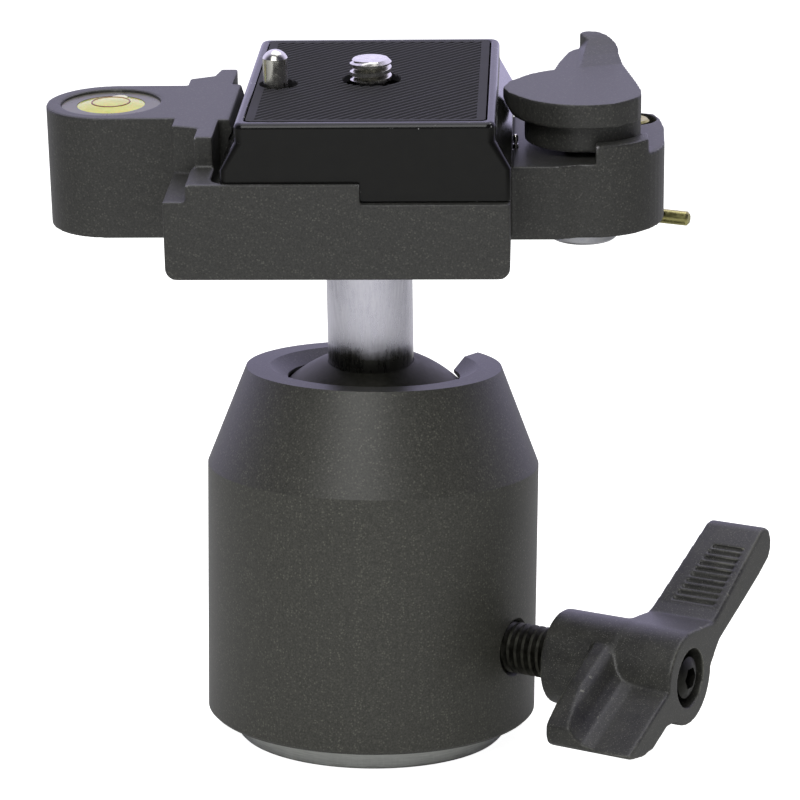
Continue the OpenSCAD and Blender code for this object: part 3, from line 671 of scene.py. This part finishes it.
# %% [markdown]
# ## Body
# The body is turned, so it has to be smooth all the way round. A cylinder and cone of 240 sides, a hair
# smaller than the CAD body, share with it a skin of even strips that shows no facets. Bevels then break
# its edges, inwards, because a round takes material away. The cone leans in by 21 degrees, so shading
# that is smooth up to 20 keeps the shoulder crisp, and the bevels have segments enough to stay below.

# %% Body
housing = cad_copy("housing", "housing_casting")
housing.data.materials.append(coat)
# The second slot is the paler coat of the bevels, a painted highlight
housing.data.materials.append(edge_highlight_coat)
skin_sides = 240
skin_r = 26.22
shoulder_z = 44.1
cone_rise = 17
cone_slope = 0.393
bpy.ops.mesh.primitive_cylinder_add(
    vertices=skin_sides, radius=skin_r * MM, depth=shoulder_z * MM,
    location=(0, 0, shoulder_z / 2 * MM), end_fill_type="NGON")
skin = place_in_mesh()
edit(skin, "FACE")
print("cone starts from faces:", select("faces", lambda face: face.normal.z > 0.9))
bpy.ops.mesh.extrude_region_move(TRANSFORM_OT_translate={"value": (0, 0, cone_rise * MM)})
narrower = 1 - cone_slope * cone_rise / skin_r
bpy.ops.transform.resize(value=(narrower, narrower, 1), center_override=(0, 0, 0))
leave()
cut(housing, skin, "INTERSECT")
print("edges:", round_edges(housing, width=0.35, segments=5))
finish_piece(housing, angle=20)
stand_for(housing, "housing")

# %% [markdown]
# ## Clamp and its lever
# These two castings come out of a mould and are handled a lot. Inner and outer corners, steps and ribs
# all meet in small radii, which a skin of fine voxels gives after some smoothing. Its many small faces
# also let the paint know where an edge is convex, and so where it is rubbed pale.

# %% Clamp
clamp = cad_copy("clamp_body", "clamp_casting", HEAD)
clamp.data.materials.append(coat_worn)
soften(clamp, voxel=0.25, passes=4, keep=0.42)
finish_piece(clamp, HEAD)
stand_for(clamp, "clamp_body")

# %% Lever
lever = cad_copy("clamp_lever", "lever_casting", HEAD)
lever.data.materials.append(coat_worn)
soften(lever, voxel=0.2, passes=5)
finish_piece(lever, HEAD)
stand_for(lever, "clamp_lever")

# %% [markdown]
# ## Lock lever
# The knob's arm and wing are held between finger and thumb, so their edges are well rounded. The voxel
# skin is smoothed again everywhere but at the grip grooves and in the screw's recess, which stay crisp.

# %% Lock lever
recess_r = 5.5
grip_start, grip_end = 10, 23.5
grip_low, grip_high = 47.2, 55.3
arm_side_slope = 0.62
arm_side_y = 1.2


def is_held(place):
    """Whether a point of the knob lies away from its grip grooves, its recess and its bore."""
    in_recess = math.hypot(place.x, place.y) < recess_r
    on_arm_side = place.y > arm_side_slope * place.x + arm_side_y
    in_grip = grip_start < place.x < grip_end and grip_low < place.z < grip_high
    return not (in_recess or (on_arm_side and in_grip))


knob = cad_copy("lock_lever", "knob_moulding", KNOB)
knob.data.materials.append(black_nylon)
soften(knob, voxel=0.2, passes=3)
smooth_more(knob, passes=18, test=is_held)
apply_modifier(knob, "DECIMATE", ratio=0.8)
finish_piece(knob, KNOB)
stand_for(knob, "lock_lever")

# %% [markdown]
# ## Plate
# The plate's top rim is bevelled widely, and the corners below it only a little, because the die's
# parting line leaves them fairly crisp.

# %% Plate
plate = cad_copy("plate", "enamelled_plate", HEAD)
plate.data.materials.append(enamel)
plate.data.materials.append(enamel_edge)
rim_z = 63
print("rim edges:", round_edges(plate, width=0.4, test=lambda middle: middle.z > rim_z))
print("other edges:", round_edges(plate, width=0.2, test=lambda middle: middle.z < rim_z))
finish_piece(plate, HEAD)
stand_for(plate, "plate")

# %% [markdown]
# ## Ribbed pad
# The rubber grips a camera with fine diagonal ribs inside a smooth border. The ribs are what is left
# between V-shaped grooves, so one square bar is laid across the pad on its edge, repeated at the rib
# pitch, trimmed to the panel inside the border, and cut out of the pad. The bar has to be narrower than
# the pitch: bars that overlap are no clean solid, and the cut fails.

# %% Ribbed pad
pad = cad_copy("plate_pad", "ribbed_pad", HEAD)
pad.data.materials.append(pad_rubber)
pad_corners = [Vector(corner) / MM for corner in pad.bound_box]
pad_low = Vector([min(c[i] for c in pad_corners) for i in range(3)])
pad_high = Vector([max(c[i] for c in pad_corners) for i in range(3)])
pad_middle = (pad_low + pad_high) / 2
rib_angle = math.radians(46.7)
rib_pitch = 1.15
rib_count = 54
groove_depth = 0.38
bar_half_width = 0.55
bar_length = 70
border_side = 1.3
border_end = 0.9
panel_spare = 4
across = Vector((-math.sin(rib_angle), math.cos(rib_angle), 0))
first = pad_middle - across * rib_pitch * (rib_count - 1) / 2
first.z = pad_high.z + bar_half_width - groove_depth
bpy.ops.mesh.primitive_cylinder_add(
    vertices=4, radius=bar_half_width * MM, depth=bar_length * MM, location=first * MM,
    rotation=(0, math.pi / 2, rib_angle))
grooves = place_in_mesh()
apply_modifier(grooves, "ARRAY", count=rib_count, use_relative_offset=False, use_constant_offset=True,
               constant_offset_displace=across * rib_pitch * MM)
panel_size = pad_high - pad_low - Vector((2 * border_side, 2 * border_end, -panel_spare))
bpy.ops.mesh.primitive_cube_add(size=1, location=pad_middle * MM, scale=panel_size * MM)
cut(grooves, place_in_mesh(), "INTERSECT")
cut(pad, grooves)
finish_piece(pad, HEAD)
stand_for(pad, "plate_pad")

# %% [markdown]
# ## Threads
# The CAD model has plain cylinders where threads are, because a thread's helix would swamp its files.
# Here the real 60-degree grooves are cut: a triangle swept up a helix with a Screw modifier, once for
# the M8 stud, once for the 1/4-20 camera screw, and once, outwards, for the foot's 3/8-16 tripod thread.

# %% Lock stud
stud = cad_copy("lock_stud", "threaded_stud", KNOB)
stud.data.materials.append(worn_oxide)
cut_thread(stud, radius=3.97, depth=-0.68, pitch=1.25, low=22, high=36)
finish_piece(stud, KNOB)
stand_for(stud, "lock_stud")

# %% Camera screw
camera_screw = cad_copy("camera_screw", "threaded_camera_screw", HEAD)
camera_screw.data.materials.append(bright_nickel)
cut_thread(camera_screw, radius=3.175, depth=-0.62, pitch=1.27, low=63.7, high=68, at=(0.8, 0.2))
finish_piece(camera_screw, HEAD)
stand_for(camera_screw, "camera_screw")

# %% [markdown]
# ## Foot disc
# The disc is turned from bar and its edge is knurled, so that it can be gripped. A cylinder whose every
# second vertical edge is drawn in a little has just that edge, and what it shares with the CAD disc is
# the finished piece, once the tripod thread is cut into its bore.

# %% Foot disc
foot = cad_copy("base_disc", "knurled_foot")
foot.data.materials.append(turned_aluminium)
knurl_r = 21.49
knurl_depth = 0.1
knurl_teeth = 150
knurl_height = 24
bpy.ops.mesh.primitive_cylinder_add(
    vertices=2 * knurl_teeth, radius=knurl_r * MM, depth=knurl_height * MM, end_fill_type="NGON")
knurl = place_in_mesh()
tooth_angle = math.pi / knurl_teeth
edit(knurl, "VERT")
select("verts", lambda v: round(math.atan2(v.co.x, v.co.y) / tooth_angle) % 2 == 1)
drawn_in = 1 - knurl_depth / knurl_r
bpy.ops.transform.resize(value=(drawn_in, drawn_in, 1), center_override=(0, 0, 0))
leave()
cut(foot, knurl, "INTERSECT")
cut_thread(foot, radius=3.97, depth=0.72, pitch=1.5875, low=-1, high=10.5)
finish_piece(foot)
stand_for(foot, "base_disc")

# %% [markdown]
# ## Spirit level
# A bull's-eye level is a cup with a drop of yellow liquid under a domed lens. A red ring is printed on
# the lens, and the air bubble sits at the high side, because the clamp leans. The ring is a thin torus
# and the bubble a flat ellipsoid, both sunk a little into the lens.

# %% Spirit level
vial = cad_copy("level_vial", "level_lens", HEAD)
vial.data.materials.append(level_liquid)
finish_piece(vial, HEAD)
stand_for(vial, "level_vial")

level_middle = Vector((-39.5, 2.9, 0))
lens_r = 20
lens_rim_r = 5.2
lens_rim_z = 59.4
lens_centre_z = lens_rim_z - math.sqrt(lens_r ** 2 - lens_rim_r ** 2)


def on_lens(r):
    """The height of the lens at distance r from its middle, in mm."""
    return lens_centre_z + math.sqrt(lens_r ** 2 - r ** 2)


def on_level(name, material):
    """Finishes the new primitive as a mark on the lens."""
    mark = place_in_mesh()
    mark.name = name
    mark.data.materials.append(material)
    finish_piece(mark, HEAD)
    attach(mark, "clamp")


ring_r = 2.9
ring_line_r = 0.14
ring_z = on_lens(ring_r) - 0.04
bpy.ops.mesh.primitive_torus_add(
    major_radius=ring_r * MM, minor_radius=ring_line_r * MM, major_segments=72, minor_segments=8,
    location=(level_middle + Vector((0, 0, ring_z))) * MM)
on_level("level_ring", ring_red)

bubble_place = Vector((0.9, 3.6, 0))
bubble_half_size = (1.25, 1.1, 0.12)
bubble_z = on_lens(bubble_place.length) - 0.03
bpy.ops.mesh.primitive_uv_sphere_add(
    segments=40, ring_count=20, radius=MM, scale=bubble_half_size,
    location=(level_middle + bubble_place + Vector((0, 0, bubble_z))) * MM)
on_level("level_bubble", level_air)

# %% [markdown]
# ## Pieces that keep their CAD mesh
# The ball, the stem, the springs and the parts inside the body have plain shapes, so their CAD meshes
# serve as they are. Each one only needs the finish of the real piece.

# %% Finishes of the pieces that keep their CAD mesh
finishes = {
    "pan_washer": natural_acetal, "wave_washer": spring_wire,
    "retainer_plate": zinc_plate, "retainer_screws": zinc_plate, "floor_plate": cast_aluminium,
    "seat_ring": natural_acetal, "friction_cup": cast_aluminium, "cup_spring": spring_wire,
    "thrust_pin": zinc_plate, "knob_insert": zinc_plate,
    "knob_screw": black_oxide, "knob_spring": spring_wire, "ball_liner": natural_acetal,
    "ball": ball_anodise, "stem": satin_chrome, "clamp_screw": zinc_plate, "level_cup": level_cream,
    "lever_screw": zinc_plate, "lever_spring": spring_wire,
    "trigger_pin": bright_nickel, "trigger_spring": spring_wire,
    "safety_spindle": tarnished_brass, "safety_pin": tarnished_brass, "safety_spring": spring_wire,
    "screw_clip": spring_wire, "video_pin": bright_nickel, "video_spring": spring_wire,
    "pin_plug": zinc_plate,
}
for node, material in finishes.items():
    mesh = frame["nodes"][node].data
    mesh.materials.clear()
    mesh.materials.append(material)
print("finished CAD nodes:", len(finishes))
